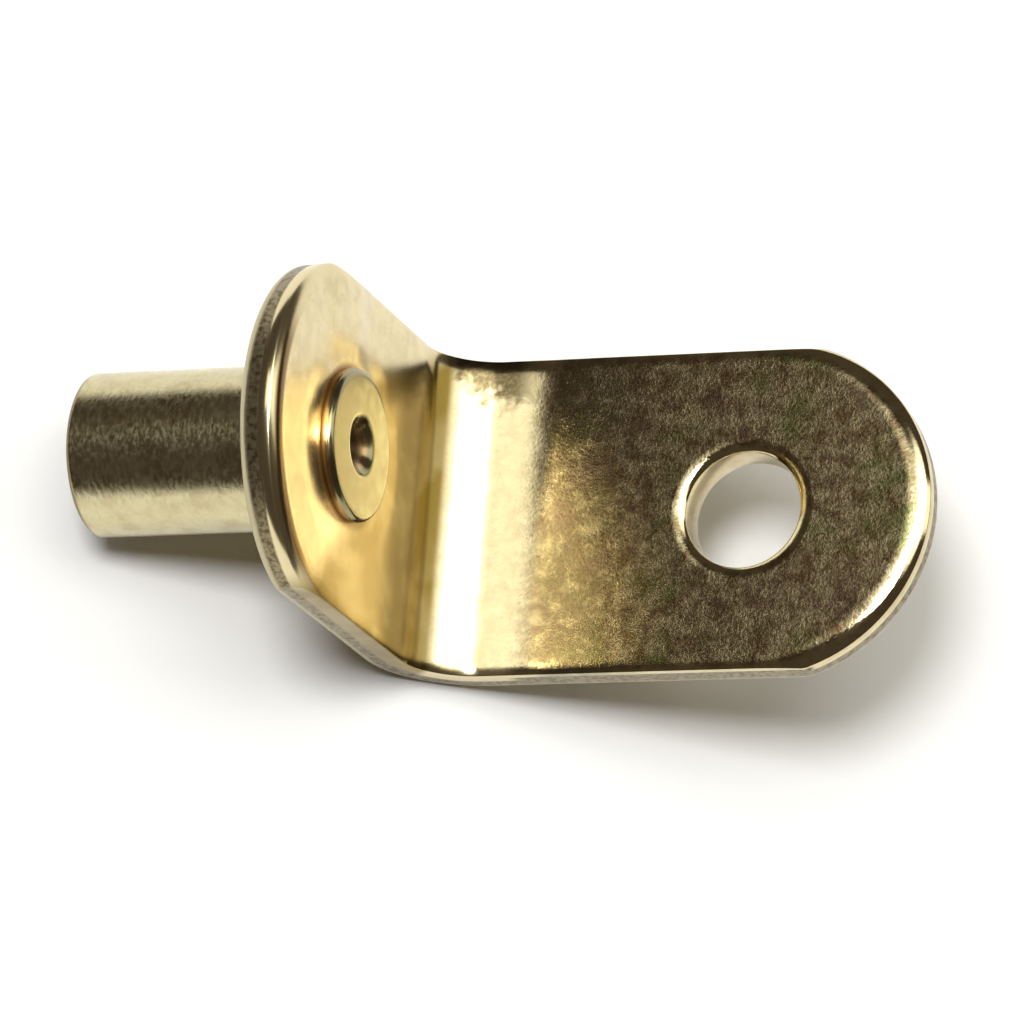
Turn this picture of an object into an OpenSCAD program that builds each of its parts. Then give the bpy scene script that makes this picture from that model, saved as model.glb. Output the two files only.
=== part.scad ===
// Angle shelf support: a strip bent to an L, with a pin riveted through its upright.
// The pin plugs into a cabinet side along -X. The shelf lies on the arm, and a screw
// can come up through the arm into it.
// The origin is on the pin's axis, in the wall side of the upright. +Z is up.

/* [Pin] */
// Diameter of the shank, which slides into a 6.35 mm (1/4 in) hole
pin_d = 6.25; // [5.6:0.05:6.6]
// Length of the shank that stands out of the upright
pin_len = 8.7; // [6:0.1:12]
// Chamfer at the free end of the shank
pin_chamfer = 0.3; // [0.1:0.05:0.8]
// Diameter of the tenon that passes through the upright
tenon_d = 4.6; // [3.6:0.1:5]

/* [Rivet head] */
// Diameter of the riveted head
head_d = 5.8; // [5.3:0.1:7]
// Height of the head over the inner face of the upright
head_h = 0.55; // [0.4:0.05:0.9]
// Radius of the head's rim
head_edge_r = 0.2; // [0.05:0.05:0.3]
// Diameter of the dimple left by the riveting punch
dimple_d = 2.2; // [1:0.1:3]
// Depth of the dimple
dimple_depth = 0.75; // [0.2:0.05:1.2]

/* [Strip] */
// Width of the strip
strip_w = 12.7; // [10:0.1:16]
// Thickness of the strip
strip_t = 1.6; // [1.2:0.05:2]
// Inside radius of the bend
bend_r = 2.3; // [1:0.1:3.4]
// Reach of the arm from the wall to its tip
arm_len = 21.4; // [19:0.1:32]
// Height of the pin's axis over the arm's underside
pin_rise = 10.6; // [8.5:0.1:16]
// Height of the upright's top over the pin's axis
top_over_pin = 7.1; // [5:0.1:12]
// What the radius of the round ends has over half the strip's width
end_r_extra = 0.35; // [0:0.05:0.8]

/* [Screw hole] */
// Diameter of the screw hole
hole_d = 4.6; // [3:0.1:6]
// Distance from the screw hole's centre to the tip of the arm
hole_from_tip = 7.4; // [5:0.05:9]

/* [Edges] */
// Width of the edge drawn down by the blanking punch, on the inner face
roll_w = 0.65; // [0.4:0.05:1]
// Depth of that edge
roll_h = 0.3; // [0.1:0.05:0.5]
// Width of the drawn edge round the screw hole
hole_roll_w = 0.35; // [0.2:0.05:0.6]
// Depth of the drawn edge round the screw hole
hole_roll_h = 0.15; // [0.05:0.05:0.3]

/* [Hidden] */
$fn = 128;

brass = [0.76, 0.65, 0.39];
end_r = strip_w / 2 + end_r_extra;
bend_outer_r = bend_r + strip_t;
// The arm's upper face, and the level and place where the bend is over
arm_bottom = -pin_rise;
arm_top = arm_bottom + strip_t;
bend_top = arm_bottom + bend_outer_r;
// Centres of the round ends
arm_end_x = arm_len - end_r;
upright_end_z = top_over_pin - end_r;
hole_x = arm_len - hole_from_tip;
// What cutters reach past the faces that they cut
over = 1;

// Radius of an edge that leaves a face smoothly and has dropped by h at a distance of w
function edge_radius(w, h) = (w * w + h * h) / (2 * h);

// What the punch draws down beside its cut, in a plane across the edge. The inner face is
// at y = 0 with the metal below, the cut is at x = 0 and the metal lies at negative x.
module drawn_edge(w, h) {
    r = edge_radius(w, h);
    difference() {
        translate([-w, -h]) square([w + over, h + over]);
        translate([-w, -r]) circle(r);
    }
}

// Section of the strip: its thickness along x from the inner face, its width along y.
// The two inner edges are eased, on the line of the drawn edge of the round ends.
module strip_section() {
    difference() {
        translate([0, -strip_w / 2]) square([strip_t, strip_w]);
        for (side = [0, 1])
            mirror([0, side]) translate([0, end_r]) rotate(90) drawn_edge(roll_w, roll_h);
    }
}

// The strip bent to an L, both legs still square at their ends
module bent_strip() {
    translate([strip_t, 0, bend_top]) mirror([1, 0, 0])
        linear_extrude(upright_end_z + end_r - bend_top) strip_section();
    translate([bend_outer_r, 0, bend_top]) rotate([90, 0, 0]) rotate(180)
        rotate_extrude(angle = 90) translate([bend_r, 0]) strip_section();
    translate([bend_outer_r, 0, arm_top]) rotate([0, 90, 0])
        linear_extrude(arm_len - bend_outer_r) strip_section();
}

// Waste outside a round end, which points along +X. The inner face is at z = 0.
module end_waste() {
    rotate(-90) rotate_extrude(angle = 180) translate([end_r, 0]) {
        drawn_edge(roll_w, roll_h);
        translate([0, -strip_t - over]) square([strip_w, strip_t + 2 * over]);
    }
}

// Waste of a pierced hole with a drawn edge, from the inner face at z = 0 downward
module hole_waste() {
    translate([0, 0, -strip_t - over]) cylinder(d = hole_d, h = strip_t + 2 * over);
    rotate_extrude() translate([hole_d / 2, 0]) mirror([1, 0]) drawn_edge(hole_roll_w, hole_roll_h);
}

module bracket() {
    color(brass) difference() {
        bent_strip();
        translate([arm_end_x, 0, arm_top]) end_waste();
        translate([strip_t, 0, upright_end_z]) rotate([0, -90, 0]) mirror([0, 0, 1]) end_waste();
        translate([hole_x, 0, arm_top]) hole_waste();
        translate([-over, 0, 0]) rotate([0, 90, 0]) cylinder(d = tenon_d, h = strip_t + 2 * over);
    }
}

// Half section of the pin: radius along x, and along y the way from the wall to the arm's tip
module pin_section() {
    pin_r = pin_d / 2;
    polygon([[0, -pin_len], [pin_r - pin_chamfer, -pin_len], [pin_r, pin_chamfer - pin_len],
             [pin_r, 0], [tenon_d / 2, 0], [tenon_d / 2, strip_t], [0, strip_t]]);
    translate([0, strip_t]) head_section();
}

// Half section of the riveted head, from the upright's inner face at y = 0
module head_section() {
    head_r = head_d / 2;
    square([head_r - head_edge_r, head_h]);
    square([head_r, head_h - head_edge_r]);
    translate([head_r - head_edge_r, head_h - head_edge_r]) circle(head_edge_r);
}

module pin() {
    color(brass) rotate([0, 90, 0]) difference() {
        rotate_extrude() pin_section();
        translate([0, 0, strip_t + head_h - dimple_depth])
            cylinder(d1 = 0, d2 = dimple_d, h = dimple_depth);
    }
}

bracket();
pin();
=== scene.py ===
import math
import bpy
from mathutils import Matrix, Vector


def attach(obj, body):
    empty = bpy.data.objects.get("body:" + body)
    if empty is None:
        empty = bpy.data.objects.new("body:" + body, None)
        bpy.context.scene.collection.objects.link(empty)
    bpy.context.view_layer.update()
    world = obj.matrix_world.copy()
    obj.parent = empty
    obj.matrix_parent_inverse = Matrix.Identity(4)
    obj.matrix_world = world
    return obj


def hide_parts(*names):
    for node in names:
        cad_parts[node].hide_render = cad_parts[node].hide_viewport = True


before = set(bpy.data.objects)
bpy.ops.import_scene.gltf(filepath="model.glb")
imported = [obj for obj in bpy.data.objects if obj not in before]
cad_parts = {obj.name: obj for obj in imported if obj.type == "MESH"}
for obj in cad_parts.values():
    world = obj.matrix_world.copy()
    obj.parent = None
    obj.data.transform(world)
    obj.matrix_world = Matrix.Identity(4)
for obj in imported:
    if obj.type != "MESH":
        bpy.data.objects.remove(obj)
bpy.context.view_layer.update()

mm = 0.001


# Helpers for modelling

skin = {
    "firstCorner": 0.1,         # millimetres across, before it is merged to a point
    "mergeWithin": 1e-7,        # metres
    "cornerSegments": 2,
    "smoothUnder": 60,          # degrees between faces that still shade as one
    "faceWeight": 60,
}


def deselectAll():
    if bpy.context.mode != "OBJECT":
        bpy.ops.object.mode_set(mode="OBJECT")
    bpy.ops.object.select_all(action="DESELECT")


def onlySelect(piece):
    deselectAll()
    piece.select_set(True)
    bpy.context.view_layer.objects.active = piece


def drawLine(name, points):
    # one corner is placed, and the rest of the line is extruded from it, point by point
    deselectAll()
    corners = [Vector(p) * mm for p in points]
    bpy.ops.mesh.primitive_plane_add(size=skin["firstCorner"] * mm, location=corners[0])
    piece = bpy.context.active_object
    piece.name = piece.data.name = name
    bpy.ops.object.transform_apply(location=True, rotation=True, scale=True)
    bpy.ops.object.mode_set(mode="EDIT")
    bpy.ops.mesh.select_mode(type="VERT")
    bpy.ops.mesh.select_all(action="SELECT")
    bpy.ops.mesh.merge(type="CENTER")
    for here, there in zip(corners, corners[1:]):
        bpy.ops.mesh.extrude_region_move(TRANSFORM_OT_translate={"value": there - here})
    return piece


def closeLine(fill=True):
    bpy.ops.mesh.select_all(action="SELECT")
    bpy.ops.mesh.edge_face_add()
    if not fill:
        bpy.ops.mesh.delete(type="ONLY_FACE")


def cleanSkin():
    bpy.ops.mesh.select_all(action="SELECT")
    bpy.ops.mesh.remove_doubles(threshold=skin["mergeWithin"])
    bpy.ops.mesh.normals_make_consistent(inside=False)
    bpy.ops.object.mode_set(mode="OBJECT")


def lathe(centre, steps):
    # a full turn about the line along x through the centre
    bpy.ops.mesh.select_all(action="SELECT")
    bpy.ops.mesh.spin(steps=steps, angle=math.radians(360), center=Vector(centre) * mm,
                      axis=(1, 0, 0), use_auto_merge=True)


def arc(centre, radius, start, end, steps):
    # points of an arc in its plane, from start to end in degrees
    turns = [math.radians(start + (end - start) * i / steps) for i in range(steps + 1)]
    return [(centre[0] + radius * math.cos(t), centre[1] + radius * math.sin(t)) for t in turns]


def cutWith(piece, cutter):
    onlySelect(piece)
    cut = piece.modifiers.new("cut", "BOOLEAN")
    cut.operation = "DIFFERENCE"
    cut.solver = "EXACT"
    cut.object = cutter
    bpy.ops.object.modifier_apply(modifier=cut.name)
    bpy.data.objects.remove(cutter)


def softenCorners(piece, width, sharp):
    # a small round on every hard corner, and flat faces that keep their own normals
    onlySelect(piece)
    corners = piece.modifiers.new("corners", "BEVEL")
    corners.width = width * mm
    corners.segments = skin["cornerSegments"]
    corners.limit_method = "ANGLE"
    corners.angle_limit = math.radians(sharp)
    corners.use_clamp_overlap = True
    bpy.ops.object.modifier_apply(modifier=corners.name)
    bpy.ops.object.shade_smooth_by_angle(angle=math.radians(skin["smoothUnder"]))
    weight = piece.modifiers.new("weight", "WEIGHTED_NORMAL")
    weight.mode = "FACE_AREA"
    weight.keep_sharp = True
    weight.weight = skin["faceWeight"]
    bpy.ops.object.modifier_apply(modifier=weight.name)


# Bracket, in millimetres

strip = {
    "width": 12.7, "thick": 1.6,
    "insideRadius": 2.3, "bendSteps": 36,
    "armReach": 21.4, "uprightTop": 7.1, "pinRise": 10.6,
    "endRadius": 6.7, "endSteps": 64,
    "rollWidth": 0.9, "rollDepth": 0.4, "rollSteps": 12,
    "rollTurn": 80, "rollCrowd": 0.8,         # the drawn edge's turn, with more steps near the cut
    "shearedDepth": 0.75,                     # where the cut turns from sheared to torn
    "tornStep": 0.03, "tornSlope": (0.04, 0.06),    # the torn part lies behind the sheared part
    "rearRound": 0.42, "frontRound": 0.12,    # the tumbled edges
    "sideRound": 0.8,                         # the share of the rear round that the sides have
    "frontSteps": 4, "rearSteps": 5, "outlineSteps": 6,
    "holeDiameter": 4.6, "holeFromTip": 7.4, "holeSteps": 96,
    "holeRollWidth": 0.55, "holeRollDepth": 0.22, "holeRollSteps": 6,
    "tenonDiameter": 4.6,
    "cornerRound": 0.03, "cornerAngle": 32,
    "pinFlat": 6.7, "holeFlat": -13.713,      # the two holes' places along the flat blank
    "clear": 1.0, "wasteWidth": 4.0,          # how far a cutter stands out of the sheet
}


def rollLine(edge, width, depth, steps):
    # an edge that the punch drew down, as (place, depth) pairs from the face to the cut
    turns = [math.radians(strip["rollTurn"]) * (i / steps) ** strip["rollCrowd"]
             for i in range(steps + 1)]
    return [(edge - width * (1 - math.sin(t) / math.sin(turns[-1])), depth * (math.cos(t) - 1))
            for t in turns]


def makeStrip(low, high):
    # the strip stands on its end, with its inner face at x = 0 and its rear edges tumbled round
    s = strip
    half, rear, front = s["width"] / 2, s["rearRound"] * s["sideRound"], s["frontRound"]
    side = arc((half - front, -front), front, 90, 0, s["frontSteps"])
    side += arc((half - rear, rear - s["thick"]), rear, 0, -90, s["rearSteps"])
    points = [(depth, y, low) for y, depth in side]
    points += [(depth, -y, low) for y, depth in reversed(side)]
    blank = drawLine("bracket_plate", points)
    closeLine()
    bpy.ops.mesh.select_all(action="SELECT")
    bpy.ops.mesh.extrude_region_move(TRANSFORM_OT_translate={"value": (0, 0, (high - low) * mm)})
    cleanSkin()
    return blank


def cutOutline(blank, low, high):
    # the waste round the blank is drawn in section and led round both ends and both sides
    s = strip
    edge, rear = s["endRadius"], s["rearRound"]
    torn, under, outside = edge - s["tornStep"], -s["thick"] - s["clear"], edge + s["wasteWidth"]
    line = rollLine(edge, s["rollWidth"], s["rollDepth"], s["rollSteps"])
    line += [(edge, s["tornSlope"][0] - s["shearedDepth"]),
             (torn, -s["shearedDepth"] - s["tornSlope"][1])]
    line += arc((torn - rear, rear - s["thick"]), rear, 0, -90, s["outlineSteps"])
    line += [(torn - rear, under), (outside, under), (outside, s["clear"]),
             (edge - s["rollWidth"], s["clear"])]
    lowCentre, highCentre = low + edge, high - edge
    waste = drawLine("waste", [(depth, -place, lowCentre) for place, depth in line])
    closeLine(fill=False)
    bpy.ops.mesh.select_all(action="SELECT")
    run = Vector((0, 0, highCentre - lowCentre)) * mm
    for centre, step in ((lowCentre, run), (highCentre, -run)):
        bpy.ops.mesh.spin(steps=s["endSteps"], angle=math.radians(180),
                          center=(0, 0, centre * mm), axis=(-1, 0, 0))
        bpy.ops.mesh.extrude_region_move(TRANSFORM_OT_translate={"value": step})
    cleanSkin()
    cutWith(blank, waste)


def cutHole(blank, centre, wall):
    # wall is the hole's side in section, as (radius, depth) pairs
    line = wall + [(0, wall[-1][1]), (0, wall[0][1])]
    waste = drawLine("waste", [(depth, place, centre) for place, depth in line])
    closeLine(fill=False)
    lathe((0, 0, centre), strip["holeSteps"])
    cleanSkin()
    cutWith(blank, waste)


def makeBracket():
    s = strip
    bendLength = s["insideRadius"] * math.pi / 2
    bendTop = s["thick"] + s["insideRadius"] - s["pinRise"]
    tip = s["thick"] + s["insideRadius"] - s["armReach"] - bendLength    # on the flat blank
    top = s["uprightTop"] - bendTop
    blank = makeStrip(tip, top)
    cutOutline(blank, tip, top)
    under, over, tenon = -s["thick"] - s["clear"], s["clear"], s["tenonDiameter"] / 2
    holeEdge = [(-place, depth) for place, depth in
                rollLine(-s["holeDiameter"] / 2, s["holeRollWidth"], s["holeRollDepth"],
                         s["holeRollSteps"])]
    cutHole(blank, tip + s["holeFromTip"],
            [(holeEdge[0][0], over)] + holeEdge + [(holeEdge[-1][0], under)])
    cutHole(blank, -bendTop, [(tenon, over), (tenon, under)])

    # cuts across the bend let it fold
    onlySelect(blank)
    bpy.ops.object.mode_set(mode="EDIT")
    for i in range(s["bendSteps"] + 1):
        bpy.ops.mesh.select_all(action="SELECT")
        bpy.ops.mesh.bisect(plane_co=(0, 0, -bendLength * i / s["bendSteps"] * mm),
                            plane_no=(0, 0, 1))
    cleanSkin()

    # the flat blank's own coordinates stay with the metal as it is folded
    flat = [0.0] * (3 * len(blank.data.vertices))
    blank.data.vertices.foreach_get("co", flat)
    blank.data.attributes.new("flat", "FLOAT_VECTOR", "POINT").data.foreach_set("vector", flat)

    fold = blank.modifiers.new("fold", "SIMPLE_DEFORM")
    fold.deform_method = "BEND"
    fold.deform_axis = "Y"
    fold.limits = ((-bendLength - tip) / (top - tip), -tip / (top - tip))
    fold.angle = math.radians(90)
    bpy.ops.object.modifier_apply(modifier=fold.name)
    blank.location = Vector((s["thick"], 0, bendTop)) * mm
    bpy.ops.object.transform_apply(location=True, rotation=True, scale=True)
    softenCorners(blank, s["cornerRound"], s["cornerAngle"])
    return blank


bracket = makeBracket()
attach(bracket, "root")
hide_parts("bracket")
print("bracket folded,", len(bracket.data.polygons), "faces")


# Pin, in millimetres

stud = {
    "radius": 3.125, "length": 8.7, "endRound": 0.22,
    "tenonRadius": 2.3,
    "headRadius": 2.9, "headHeight": 0.48, "headRound": 0.24,
    "roundSteps": 6, "turnSteps": 128,
    "faceRings": (2.56, 2.06, 1.3),           # they keep the head's flat face flat in its shading
    # the dimple from its lip to its point, as (depth below the face, radius) pairs
    "dimple": ((0, 1.22), (0.03, 1.12), (0.12, 1.0), (0.63, 0.32), (0.72, 0.16), (0.75, 0)),
    "cornerRound": 0.02, "cornerAngle": 50,
}


def makePin():
    p = stud
    foot, face = strip["thick"], strip["thick"] + p["headHeight"]
    line = [(-p["length"], 0)]
    line += [(x, y) for y, x in arc((p["radius"] - p["endRound"], p["endRound"] - p["length"]),
                                    p["endRound"], -90, 0, p["roundSteps"])]
    line += [(0, p["radius"]), (0, p["tenonRadius"]), (foot, p["tenonRadius"]),
             (foot, p["headRadius"])]
    line += [(x, y) for y, x in arc((p["headRadius"] - p["headRound"], face - p["headRound"]),
                                    p["headRound"], 0, 90, p["roundSteps"])]
    line += [(face, ring) for ring in p["faceRings"]]
    line += [(face - depth, radius) for depth, radius in p["dimple"]]
    pin = drawLine("pin_turned", [(x, y, 0) for x, y in line])
    lathe((0, 0, 0), p["turnSteps"])
    cleanSkin()
    softenCorners(pin, p["cornerRound"], p["cornerAngle"])
    return pin


pin = makePin()
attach(pin, "root")
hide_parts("pin")
print("pin turned,", len(pin.data.polygons), "faces")


# Materials

class Nodes:
    def __init__(self, tree):
        self.tree = tree
        tree.nodes.clear()

    def add(self, kind, inputs=None, **settings):
        node = self.tree.nodes.new(kind)
        for name, value in settings.items():
            setattr(node, name, value)
        for name, value in (inputs or {}).items():
            if isinstance(value, bpy.types.NodeSocket):
                self.tree.links.new(value, node.inputs[name])
            else:
                node.inputs[name].default_value = value
        return node

    def maths(self, operation, a, b=0.0):
        return self.add("ShaderNodeMath", {0: a, 1: b}, operation=operation).outputs[0]

    def times(self, *factors):
        product = factors[0]
        for factor in factors[1:]:
            product = self.maths("MULTIPLY", product, factor)
        return product

    def vector(self, operation, a, b, result="Vector"):
        return self.add("ShaderNodeVectorMath", {0: a, 1: b},
                        operation=operation).outputs[result]

    def spread(self, value, low, high, toLow=0.0, toHigh=1.0, smooth=True):
        return self.add("ShaderNodeMapRange", {"Value": value, "From Min": low, "From Max": high,
                                               "To Min": toLow, "To Max": toHigh},
                        interpolation_type="SMOOTHSTEP" if smooth else "LINEAR").outputs["Result"]

    def noise(self, where, scale, detail=2.0, roughness=0.5, distortion=0.0):
        return self.add("ShaderNodeTexNoise", {"Vector": where, "Scale": scale, "Detail": detail,
                                               "Roughness": roughness,
                                               "Distortion": distortion}).outputs["Fac"]

    def blend(self, factor, a, b):
        node = self.add("ShaderNodeMix", data_type="RGBA", blend_type="MIX")
        for name, value in (("Factor_Float", factor), ("A_Color", a), ("B_Color", b)):
            socket = next(i for i in node.inputs if i.identifier == name)
            if isinstance(value, bpy.types.NodeSocket):
                self.tree.links.new(value, socket)
            else:
                socket.default_value = (*value, 1)
        return next(o for o in node.outputs if o.identifier == "Result_Color")

    def bump(self, height, depth, normal=None):
        # height runs from 0 to 1, and depth is in millimetres
        inputs = {"Height": height, "Distance": depth * mm, "Strength": 1.0}
        if normal:
            inputs["Normal"] = normal
        return self.add("ShaderNodeBump", inputs).outputs["Normal"]

    def split(self, where):
        return self.add("ShaderNodeSeparateXYZ", {0: where}).outputs

    def inMillimetres(self, place):
        return self.add("ShaderNodeVectorMath", {0: place, 3: 1 / mm},
                        operation="SCALE").outputs["Vector"]

    def mask(self, sources, parts):
        # each part is a source, and how its values are spread from 0 to 1
        return self.times(*[self.spread(sources[name], *limits) if limits else sources[name]
                            for name, *limits in parts])

    def metal(self, colour, rough, normal, drawnOut=0.0, along=None):
        # drawnOut spreads a gleam across the way given by along
        inputs = {"Base Color": colour, "Metallic": 1.0, "Roughness": rough, "Normal": normal,
                  "Anisotropic": drawnOut}
        if along:
            inputs["Tangent"] = self.add("ShaderNodeCombineXYZ", dict(enumerate(along))).outputs[0]
        return self.add("ShaderNodeBsdfPrincipled", inputs).outputs[0]

    def surface(self, shader):
        self.add("ShaderNodeOutputMaterial", {"Surface": shader})


def newMaterial(name):
    material = bpy.data.materials.new(name)
    material.use_nodes = True
    return material, Nodes(material.node_tree)


# Finish of the bracket, with places on the flat blank in millimetres: depth from the inner face,
# across, and along from the arm's tip at -21.1 past the bend at -3.6 to 0 up to the top at 13.8

plate = {
    "colour": (0.76, 0.65, 0.39),
    "roughness": (0.05, 0.13),                # between the polished and the dull grains
    "rolled": 0.5,                            # the rolled strip spreads a gleam across its length
    # noises: scale, detail, roughness and distortion
    "cloud": (0.42, 2.0, 0.5, 0.4), "patch": (1.25, 4.0, 0.6, 0.3),
    "fleck": (6.5, 4.0, 0.65), "speck": (5.5, 1.0), "fine": (38.0, 0.0), "wave": (0.9, 1.0),
    # how far the metal is tarnished
    "amount": [("along", -4.1, -7.2, 0.2, 1.0), ("depth", -0.01, -0.08, 1.0, 0.25)],
    # each tint in its turn: a colour, and the masks that hold it
    "tints": {
        "tarnish": ((0.35, 0.24, 0.12), [("patch", 0.36, 0.66), ("amount",)]),
        # a painted dark reflection on the arm, in a band just past the fold
        "pastFold": ((0.32, 0.27, 0.165), [("along", -5.5, -6.3), ("along", -10.5, -7.5),
                                           ("patch", 0.25, 0.55, 0.3, 0.85)]),
        "green": ((0.42, 0.52, 0.2), [("cloud", 0.48, 0.72), ("patch", 0.35, 0.65, 0.15, 0.85),
                                      ("along", -8.5, -11.5, 0.3, 1.0), ("amount",)]),
        "violet": ((0.36, 0.25, 0.2), [("cloud", 0.5, 0.3), ("patch", 0.4, 0.65, 0.1, 0.6),
                                       ("amount",)]),
        "flecks": ((0.35, 0.24, 0.12), [("fleck", 0.5, 0.72), ("amount",)]),
        # a painted dark reflection where the fold meets the arm's far edge
        "cornerShade": ((0.09, 0.062, 0.024), [("ragged", 5.3, 6.4), ("along", -1.2, -1.9),
                                         ("along", -5.4, -4.0), ("fleck", 0.7, 0.4, 0.75, 0.92)]),
        "drawnEdge": ((0.3, 0.2, 0.09), [("depth", -0.008, -0.03), ("depth", -0.2, -0.12),
                                         ("along", 8.5, 10.5), ("across", 4.0, 1.5)]),
        # painted shade round the foot of the head
        "foot": ((0.36, 0.22, 0.08), [("reach", 3.2, 2.9)]),
        # a painted olive reflection from the fold up to below the head
        "fold": ((0.235, 0.162, 0.036), [("pool", 6.4, 4.2), ("along", -1.75, -1.35),
                                         ("rise", 6.0, 5.0), ("cloud", 0.3, 0.6, 0.8, 1.0)]),
    },
    "raggedSlant": 0.3, "raggedNoise": 4.0,   # the border of the painted dark reflection at the far corner
    "poolBelow": -1.7, "poolSlant": 0.9, "riseSlant": 0.46,    # borders of the painted reflection in the fold
    # duller places: what each adds to the roughness, and its masks
    "patchDull": (0.7, 0.3, 0, 0.7), "speckDull": (0.6, 0.75),
    "dulled": [(0.2, [("reach", 3.4, 3.0)]), (0.14, [("along", -1.4, -1.2)]),
               (0.09, [("along", -5.5, -4.5), ("along", -1.2, -1.4)])],
    # low forms in the face, laid on in the order in which their depths stand
    "runOut": (-6.05, -1.6), "runOutSlant": 0.027,    # the fold runs out softly along the arm
    "earlyTurn": (-0.3, -3.0),                        # and turns fastest at its start
    # the far edge curls up beside the fold
    "curl": (5.5, 6.35), "curlPlace": [("along", -8.0, -4.5), ("along", 1.5, 0.0)],
    "ridge": [("across", 2.3, 4.6), ("aside", 2.4, 0.8)], "ridgeAt": 7.9,
    "dish": (3.4, 4.8),                               # where the riveting pulled the face down
    "depths": {"runOut": 0.43, "earlyTurn": 0.25, "curl": 0.06, "wave": 0.006, "ridge": 0.14,
               "dish": 0.045, "fleck": 0.009, "fine": 0.0022},
}

cutSide = {
    "colour": (0.31, 0.26, 0.155), "dark": (0.13, 0.095, 0.05), "rim": (0.5, 0.44, 0.28),
    "roughness": (0.16, 0.34),                # where it sheared and where it tore
    "tear": (5.0, 3.0, 0.6), "tearShare": (0.35, 0.6), "tearDepth": 0.014,
    "torn": (-0.68, -0.8), "rimFrom": (-1.12, -1.3),
    "slit": [("along", -4.4, -5.2), ("side", 6.2, 6.3)],    # the strip's own slit sides
    "place": [("depth", -0.34, -0.4), ("depth", -1.57, -1.52), ("fromHole", 3.0, 3.1)],
}


def findPlaces(n, where):
    # what the masks of the bracket are made from
    p = plate
    depth, across, along = n.split(where)
    at = {"depth": depth, "across": across, "along": along}
    for name in ("cloud", "patch", "fleck", "speck", "wave", "fine"):
        at[name] = n.noise(where, *p[name])
    at["amount"] = n.mask(at, p["amount"])
    uneven = n.maths("MULTIPLY", n.maths("SUBTRACT", at["patch"], 0.5), p["raggedNoise"])
    slanted = n.maths("SUBTRACT", across, n.maths("MULTIPLY", along, p["raggedSlant"]))
    at["ragged"] = n.maths("ADD", slanted, uneven)
    fromPin = n.vector("SUBTRACT", where, (0, 0, strip["pinFlat"]))
    at["reach"] = n.add("ShaderNodeVectorMath", {0: n.vector("MULTIPLY", fromPin, (0, 1, 1))},
                        operation="LENGTH").outputs["Value"]
    below = n.maths("MAXIMUM", n.maths("SUBTRACT", p["poolBelow"], across), 0.0)
    at["pool"] = n.maths("SUBTRACT", along, n.maths("MULTIPLY", below, p["poolSlant"]))
    at["rise"] = n.maths("ADD", across, n.maths("MULTIPLY", along, p["riseSlant"]))
    at["askew"] = n.maths("SUBTRACT", along, n.maths("MULTIPLY", across, p["runOutSlant"]))
    at["aside"] = n.maths("ABSOLUTE", n.maths("SUBTRACT", along, p["ridgeAt"]))
    at["side"] = n.maths("ABSOLUTE", across)
    at["fromHole"] = n.vector("DISTANCE", where, (0, 0, strip["holeFlat"]), "Value")
    return at


def makePlate():
    p, c = plate, cutSide
    material, n = newMaterial("brassPlate")
    flat = n.add("ShaderNodeAttribute", attribute_name="flat").outputs["Vector"]
    where = n.inMillimetres(flat)
    at = findPlaces(n, where)

    colour = p["colour"]
    for tint, parts in p["tints"].values():
        colour = n.blend(n.mask(at, parts), colour, tint)

    # the curl grows with the square of its reach
    curl = n.spread(at["across"], *p["curl"], smooth=False)
    curl = n.times(curl, curl, n.mask(at, p["curlPlace"]))
    heights = {
        "runOut": n.spread(at["askew"], *p["runOut"]),
        "earlyTurn": n.spread(at["along"], *p["earlyTurn"]),
        "curl": n.maths("SUBTRACT", 1.0, curl),
        "wave": at["wave"],
        "ridge": n.mask(at, p["ridge"]),
        "dish": n.spread(at["reach"], *p["dish"]),
        "fleck": n.times(at["fleck"], at["amount"]),
        "fine": n.times(at["fine"], at["amount"]),
    }
    normal = None
    for name, depth in p["depths"].items():
        normal = n.bump(heights[name], depth, normal)

    dull = n.maths("ADD", n.spread(at["patch"], *p["patchDull"]),
                   n.spread(at["speck"], *p["speckDull"]))
    rough = n.spread(n.times(dull, at["amount"]), 0, 1, *p["roughness"], smooth=False)
    for added, parts in p["dulled"]:
        rough = n.maths("ADD", rough, n.times(n.mask(at, parts), added))
    face = n.metal(colour, rough, normal, p["rolled"], (0, 1, 0))

    # the cut side: smooth where it sheared, and grained where it tore or was slit
    tear = n.noise(where, *c["tear"])
    bare = n.maths("MAXIMUM", n.mask(at, c["slit"]), n.spread(at["depth"], *c["torn"]))
    shade = n.blend(n.spread(tear, *c["tearShare"]), c["dark"], c["colour"])
    shade = n.blend(bare, colour, shade)
    shade = n.blend(n.spread(at["depth"], *c["rimFrom"]), shade, c["rim"])
    side = n.metal(shade, n.spread(bare, 0, 1, *c["roughness"]),
                   n.bump(n.times(tear, bare), c["tearDepth"]))
    n.surface(n.add("ShaderNodeMixShader", {0: n.mask(at, c["place"]), 1: face,
                                            2: side}).outputs[0])
    return material


# Finish of the pin, with its places in millimetres

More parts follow.
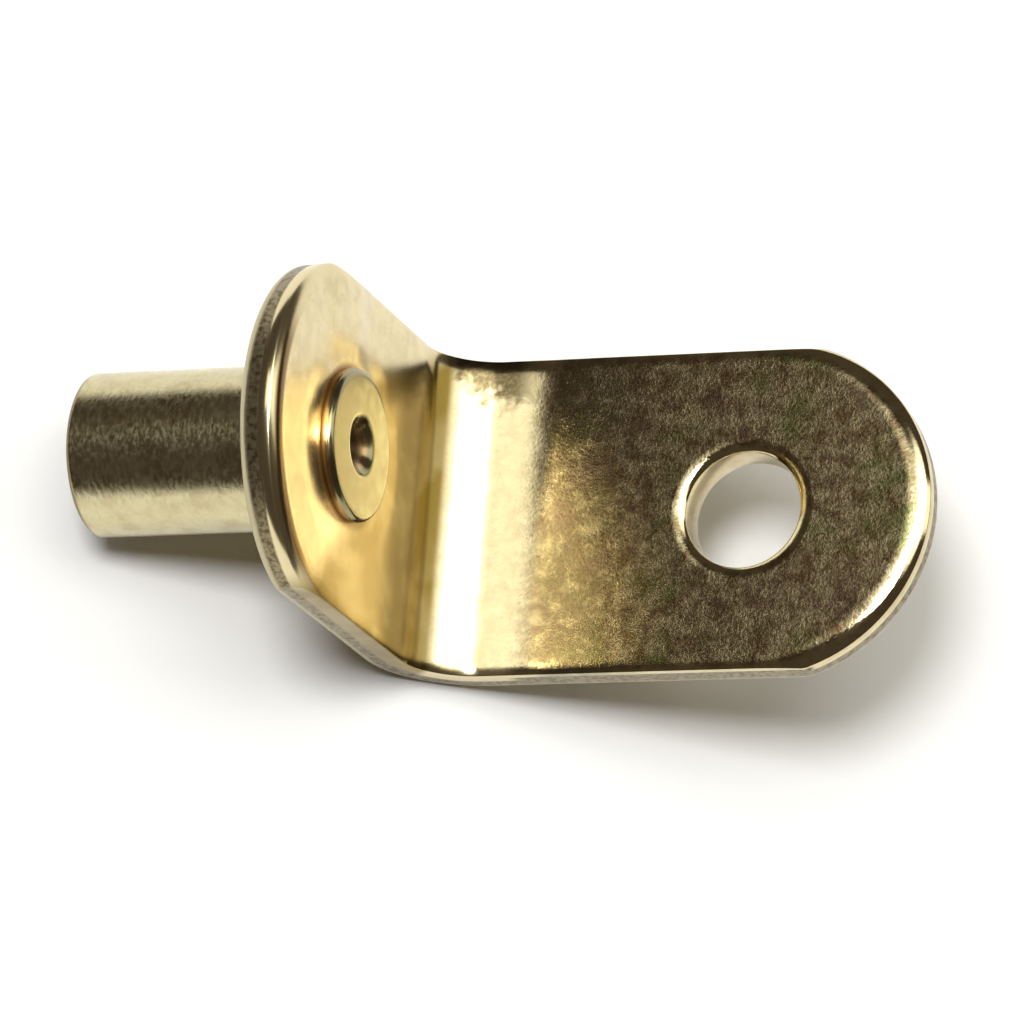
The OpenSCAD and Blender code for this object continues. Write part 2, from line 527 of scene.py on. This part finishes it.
studFinish = {
    "brown": (0.35, 0.24, 0.12), "brownShare": (0.4, 0.7, 0.0, 0.4),
    # the shank
    "shankColour": (0.64, 0.575, 0.35), "fleckColour": (0.5, 0.47, 0.3),
    "drawn": (1, 0.55, 0.55),                 # the flecks are drawn out round the shank
    "fleck": (7.0, 4.0, 0.65), "fleckShare": (0.5, 0.75, 0.0, 0.7), "fleckDepth": 0.007,
    "shankCloud": (0.9, 4.0, 0.6), "fine": (30.0, 0.0), "fineDepth": 0.002,
    "endShadeColour": (0.2, 0.16, 0.09), "endShade": (0.26, 0.12),    # from the shank's end; painted dark over the end's round, hiding its reflection of the floor
    "shankRoughness": (0.35, 0.65, 0.12, 0.24),
    "turning": 0.4,                           # the turning marks spread a gleam along the shank
    # the head, with depths below its face
    # the head is painted darker than the same plating elsewhere, as painted shade over its
    # reflection
    "headColour": (0.31, 0.285, 0.155), "headCloud": (1.5, 3.0),
    "wallColour": (0.7, 0.47, 0.22), "wall": (0.12, 0.26),
    # the dimple is painted near black, as painted shade in its hollow
    "dimpleColour": (0.09, 0.055, 0.025), "dimple": (0.1, 0.5), "dimpleSquare": 1.7,
    "dimpleRoughness": 0.5, "headRoughness": (0.35, 0.65, 0.16, 0.26),
    "headGrain": (7.0, 3.0), "headGrainDepth": 0.0015,
}


def makeShank():
    f = studFinish
    material, n = newMaterial("brassShank")
    where = n.inMillimetres(n.add("ShaderNodeTexCoord").outputs["Object"])
    fleck = n.noise(n.vector("MULTIPLY", where, f["drawn"]), *f["fleck"])
    cloud = n.noise(where, *f["shankCloud"])
    colour = n.blend(n.spread(cloud, *f["brownShare"]), f["shankColour"], f["brown"])
    colour = n.blend(n.spread(fleck, *f["fleckShare"]), colour, f["fleckColour"])
    fromEnd = n.maths("ADD", n.split(where)["X"], stud["length"])
    # painted shade over the end's round
    colour = n.blend(n.spread(fromEnd, *f["endShade"]), colour, f["endShadeColour"])
    normal = n.bump(n.noise(where, *f["fine"]), f["fineDepth"], n.bump(fleck, f["fleckDepth"]))
    n.surface(n.metal(colour, n.spread(fleck, *f["shankRoughness"]), normal,
                      f["turning"], (1, 0, 0)))
    return material


def makeHead():
    f = studFinish
    material, n = newMaterial("brassHead")
    where = n.inMillimetres(n.add("ShaderNodeTexCoord").outputs["Object"])
    height, y, z = n.split(where)
    face = strip["thick"] + stud["headHeight"]
    onWall, inDimple = [n.spread(height, *[face - depth for depth in f[name]])
                        for name in ("wall", "dimple")]
    square = n.maths("ADD", n.times(y, y), n.times(z, z))
    inDimple = n.times(inDimple, n.maths("LESS_THAN", square, f["dimpleSquare"]))
    cloud = n.noise(where, *f["headCloud"])
    # the face is painted darker, as shade over its reflection
    colour = n.blend(n.spread(cloud, *f["brownShare"]), f["headColour"], f["brown"])
    colour = n.blend(onWall, colour, f["wallColour"])
    # painted shade in the dimple
    colour = n.blend(inDimple, colour, f["dimpleColour"])
    rough = n.maths("MAXIMUM", n.spread(cloud, *f["headRoughness"]),
                    n.times(inDimple, f["dimpleRoughness"]))
    n.surface(n.metal(colour, rough, n.bump(n.noise(where, *f["headGrain"]),
                                            f["headGrainDepth"])))
    return material


bracket.data.materials.append(makePlate())
pin.data.materials.append(makeShank())
pin.data.materials.append(makeHead())
for face in pin.data.polygons:
    # the second finish is for the head, which lies beyond the middle of the sheet
    face.material_index = int(face.center.x > 0.5 * strip["thick"] * mm)
print("brass and cut steel made")


# Camera, floor and light

stand = {
    "lens": 246.9856, "sensor": 36, "clip": (0.01, 10),      # the clip in metres
    "place": (100.767, -80.406, 229.254), "turn": (19.1675, 20.4738, 4.8323),
    "lean": 33.93, "drop": 7.28,              # the pin's end and the bend lie on the floor
    "floorSize": 1.4, "floorColour": (0.9, 0.9, 0.9, 1),
}

cameraData = bpy.data.cameras.new("camera")
cameraData.lens = stand["lens"]
cameraData.sensor_width = stand["sensor"]
cameraData.clip_start, cameraData.clip_end = stand["clip"]
camera = bpy.data.objects.new("camera", cameraData)
camera.location = Vector(stand["place"]) * mm
camera.rotation_euler = [math.radians(a) for a in stand["turn"]]
bpy.context.scene.collection.objects.link(camera)
bpy.context.scene.camera = camera

deselectAll()
lean = math.radians(stand["lean"])
up = Vector((math.sin(lean), 0, math.cos(lean)))
bpy.ops.mesh.primitive_plane_add(size=stand["floorSize"], location=up * -stand["drop"] * mm,
                                 rotation=(0, lean, 0))
floor = bpy.context.active_object
floor.name = "floor"


def makeFloorPaint():
    # white from above, and clear from below
    material, n = newMaterial("floorPaint")
    white = n.add("ShaderNodeBsdfDiffuse", {"Color": stand["floorColour"]}).outputs[0]
    clear = n.add("ShaderNodeBsdfTransparent").outputs[0]
    behind = n.add("ShaderNodeNewGeometry").outputs["Backfacing"]
    n.surface(n.add("ShaderNodeMixShader", {0: behind, 1: white, 2: clear}).outputs[0])
    return material


floor.data.materials.append(makeFloorPaint())

room = {
    "colour": (1, 0.8, 0.62), "level": 0.07,  # a dim room round the floor
    # the lit ceiling: a band that runs over the bracket from its right to beyond its left,
    # given by the angles in degrees where it starts and ends, and by its soft rims in y
    "ceilingColour": (1, 1, 0.93), "ceiling": 1.5,
    "ceilingStart": (-20, -14), "ceilingEnd": (104, 100.5),
    "ceilingLow": (0.04, 0.11), "ceilingHigh": (0.48, 0.42),
    # and the glow at the lamp: its way from the camera's view, and its soft rim in degrees
    "glow": 2.2, "glowAt": (0.229, 0.541, 0.809), "glowWidth": (13, 24),
}


def fromView(way):
    # a direction given as right, up and toward the viewer in the camera's view
    return camera.rotation_euler.to_matrix() @ Vector(way).normalized()


def makeRoom():
    world = bpy.data.worlds.new("room")
    bpy.context.scene.world = world
    world.use_nodes = True
    n = Nodes(world.node_tree)
    way = n.add("ShaderNodeTexCoord").outputs["Generated"]
    x, y, z = n.split(way)
    turn = n.maths("DEGREES", n.maths("ARCTAN2", z, x))
    level = n.times(n.spread(y, *room["ceilingLow"], 0, room["ceiling"]),
                    n.spread(y, *room["ceilingHigh"]), n.spread(turn, *room["ceilingStart"]),
                    n.spread(turn, *room["ceilingEnd"]))
    toward = n.vector("DOT_PRODUCT", way, fromView(room["glowAt"]), "Value")
    rim = [math.cos(math.radians(width)) for width in reversed(room["glowWidth"])]
    level = n.maths("ADD", level, n.spread(toward, *rim, 0, room["glow"]))
    glow, dim, white = [n.add("ShaderNodeBackground", {"Color": (*colour, 1),
                                                       "Strength": strength}).outputs[0]
                        for colour, strength in ((room["ceilingColour"], level),
                                                 (room["colour"], room["level"]),
                                                 ((1, 1, 1), 1))]
    both = n.add("ShaderNodeAddShader", {0: dim, 1: glow}).outputs[0]
    seen = n.add("ShaderNodeLightPath").outputs["Is Camera Ray"]
    shown = n.add("ShaderNodeMixShader", {0: seen, 1: both, 2: white}).outputs[0]
    n.add("ShaderNodeOutputWorld", {"Surface": shown})


makeRoom()

lamp = {
    "way": (-0.12, 0.33, 0.935), "distance": 600, "size": (185, 185),
    "radiance": 31.0, "colour": (1, 1, 1),
}


def makeLamp():
    way = fromView(lamp["way"])
    data = bpy.data.lights.new("key", "AREA")
    data.shape = "ELLIPSE"
    data.size, data.size_y = [side * mm for side in lamp["size"]]
    data.energy = lamp["radiance"] * math.pi * data.size * data.size_y * math.pi / 4
    data.color = lamp["colour"]
    key = bpy.data.objects.new("key", data)
    key.location = way * lamp["distance"] * mm
    along = Vector((0, 1, 0)).cross(way).normalized()
    key.rotation_euler = Matrix((along, way.cross(along), way)).transposed().to_euler()
    bpy.context.scene.collection.objects.link(key)


makeLamp()
bpy.context.scene.view_settings.view_transform = "Standard"
print("camera, floor and light placed")
